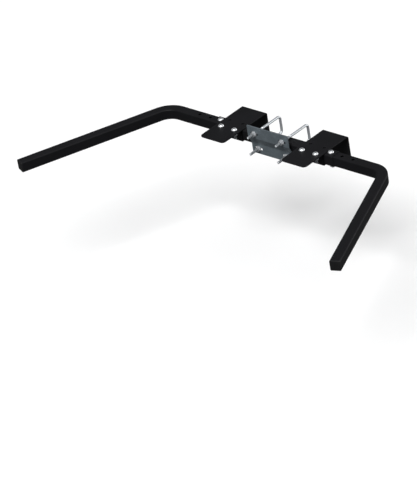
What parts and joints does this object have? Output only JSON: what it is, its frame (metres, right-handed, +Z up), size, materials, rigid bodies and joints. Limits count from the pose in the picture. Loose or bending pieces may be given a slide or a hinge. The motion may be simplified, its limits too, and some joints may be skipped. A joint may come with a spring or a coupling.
{
  "type": "ladder stabilizer",
  "caption": "Clamp-on ladder stand-off bar: square tube with two bent telescoping arms, folded hook plates over the rung and square U-bolts with a stepped clamp plate.",
  "frame": {"origin": "middle of the centre tube, halfway between the two arms", "axes": "+X along the centre tube towards the right arm, +Y from the centre tube to the ladder rung and the hooks, +Z up; the arms reach towards -Y"},
  "size_m": [1.2304, 0.5553, 0.1074],
  "materials": {
    "powder_coat": "satin black powder coat",
    "galvanised_plate": "blue-grey galvanised steel",
    "zinc_fastener": "bright zinc plate",
    "zinc_rod": "bright zinc plate",
    "cap_plastic": "moulded black plastic"
  },
  "bodies": {
    "clamp": {"centre_tube": "powder_coat", "clamp_plate": "galvanised_plate", "lock_bolt_left": "zinc_fastener", "lock_nut_left": "zinc_fastener", "u_bolt_nuts_left": "zinc_fastener", "lock_bolt_right": "zinc_fastener", "lock_nut_right": "zinc_fastener", "u_bolt_nuts_right": "zinc_fastener"},
    "arm_left": {"arm_tube_left": "powder_coat", "arm_cap_left": "cap_plastic"},
    "hook_left": {"hook_plate_left": "powder_coat", "tube_strap_left": "powder_coat", "plate_bolts_left": "zinc_fastener", "plate_nuts_left": "zinc_fastener"},
    "u_bolt_left": {"u_bolt_left": "zinc_rod"},
    "arm_right": {"arm_tube_right": "powder_coat", "arm_cap_right": "cap_plastic"},
    "hook_right": {"hook_plate_right": "powder_coat", "tube_strap_right": "powder_coat", "plate_bolts_right": "zinc_fastener", "plate_nuts_right": "zinc_fastener"},
    "u_bolt_right": {"u_bolt_right": "zinc_rod"}
  },
  "joints": [
    {"name": "arm_slide_left", "type": "slide", "parent": "clamp", "child": "arm_left", "axis": [-1, 0, 0], "range_m": [-0.082, 0.082]},
    {"name": "arm_slide_right", "type": "slide", "parent": "clamp", "child": "arm_right", "axis": [1, 0, 0], "range_m": [-0.082, 0.082]},
    {"name": "hook_slide_left", "type": "slide", "parent": "clamp", "child": "hook_left", "axis": [1, 0, 0], "range_m": [0, 0.028]},
    {"name": "hook_slide_right", "type": "slide", "parent": "clamp", "child": "hook_right", "axis": [-1, 0, 0], "range_m": [0, 0.028]},
    {"name": "u_bolt_slide_left", "type": "slide", "parent": "clamp", "child": "u_bolt_left", "axis": [0, 1, 0], "range_m": [-0.036, 0.02]},
    {"name": "u_bolt_slide_right", "type": "slide", "parent": "clamp", "child": "u_bolt_right", "axis": [0, 1, 0], "range_m": [-0.036, 0.02]}
  ]
}
